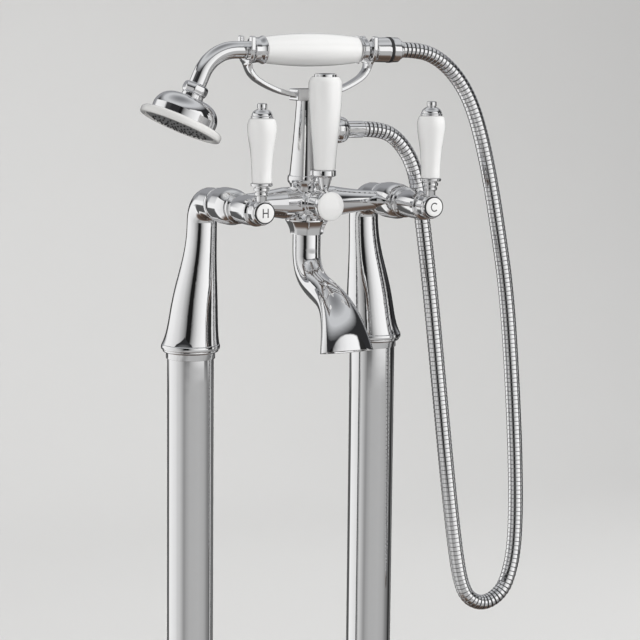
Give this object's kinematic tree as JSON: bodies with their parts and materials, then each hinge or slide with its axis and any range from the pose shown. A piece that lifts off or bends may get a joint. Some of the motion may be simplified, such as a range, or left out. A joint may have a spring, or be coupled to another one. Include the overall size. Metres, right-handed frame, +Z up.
{
  "type": "floor standing bath filler",
  "caption": "Traditional lever bath shower mixer on two floor standpipes, with a swept spout, a cradle on a post, a corded hand shower and white ceramic levers.",
  "frame": {"origin": "on the floor, midway between the two standpipe axes, at the centre of the four screw holes of the foot plates", "axes": "+Z up; -Y is the front, where the spout pours; -X is the hot side and +X the cold side"},
  "size_m": [0.3792, 0.1681, 0.9621],
  "materials": {
    "chrome": "polished",
    "ceramic": "gloss",
    "rose_rim": "gloss",
    "seal": "satin",
    "hose": "polished",
    "brass": "satin",
    "pipe": "satin",
    "steel": "satin"
  },
  "bodies": {
    "mixer": {"cold_bonnet": "chrome", "cold_cartridge": "brass", "cold_floor_cover": "chrome", "cold_foot_plate": "steel", "cold_inlet_union": "chrome", "cold_leg": "chrome", "cold_leg_collar": "chrome", "cold_standpipe": "chrome", "cold_supply_pipe": "pipe", "cradle": "chrome", "diverter_bonnet": "chrome", "diverter_cartridge": "brass", "hose": "hose", "hose_ferrule": "chrome", "hose_nut": "chrome", "hot_bonnet": "chrome", "hot_cartridge": "brass", "hot_floor_cover": "chrome", "hot_foot_plate": "steel", "hot_inlet_union": "chrome", "hot_leg": "chrome", "hot_leg_collar": "chrome", "hot_standpipe": "chrome", "hot_supply_pipe": "pipe", "mixer_body": "chrome", "post": "chrome", "post_ring": "chrome", "spout": "chrome", "spout_nut": "chrome"},
    "hot_lever": {"hot_lever_cap": "chrome", "hot_lever_grip": "ceramic", "hot_lever_hub": "chrome", "hot_lever_index": "ceramic", "hot_lever_spindle": "brass", "hot_lever_stem": "chrome"},
    "cold_lever": {"cold_lever_cap": "chrome", "cold_lever_grip": "ceramic", "cold_lever_hub": "chrome", "cold_lever_index": "ceramic", "cold_lever_spindle": "brass", "cold_lever_stem": "chrome"},
    "diverter_lever": {"diverter_lever_cap": "chrome", "diverter_lever_grip": "ceramic", "diverter_lever_hub": "chrome", "diverter_lever_index": "ceramic", "diverter_lever_spindle": "brass", "diverter_lever_stem": "chrome"},
    "handset": {"handset_arm": "chrome", "handset_grip": "ceramic", "handset_front_ferrule": "chrome", "handset_rear_ferrule": "chrome", "hose_coupling": "chrome", "coupling_ring": "seal", "rose_nut": "chrome", "rose_bell": "chrome", "rose_rim": "rose_rim", "rose_plate": "chrome"}
  },
  "joints": [
    {"name": "hot_lever_turn", "type": "hinge", "parent": "mixer", "child": "hot_lever", "pos_m": [-0.0795, -0.118, 0.8175], "axis": [0, -1, 0], "range_deg": [0, 90]},
    {"name": "cold_lever_turn", "type": "hinge", "parent": "mixer", "child": "cold_lever", "pos_m": [0.0795, -0.118, 0.8175], "axis": [0, 1, 0], "range_deg": [0, 90]},
    {"name": "diverter_turn", "type": "hinge", "parent": "mixer", "child": "diverter_lever", "pos_m": [0, -0.076, 0.8175], "axis": [0, 1, 0], "range_deg": [0, 60]},
    {"name": "handset_lift", "type": "slide", "parent": "mixer", "child": "handset", "axis": [0, 0, 1], "range_m": [0, 0.08]}
  ]
}
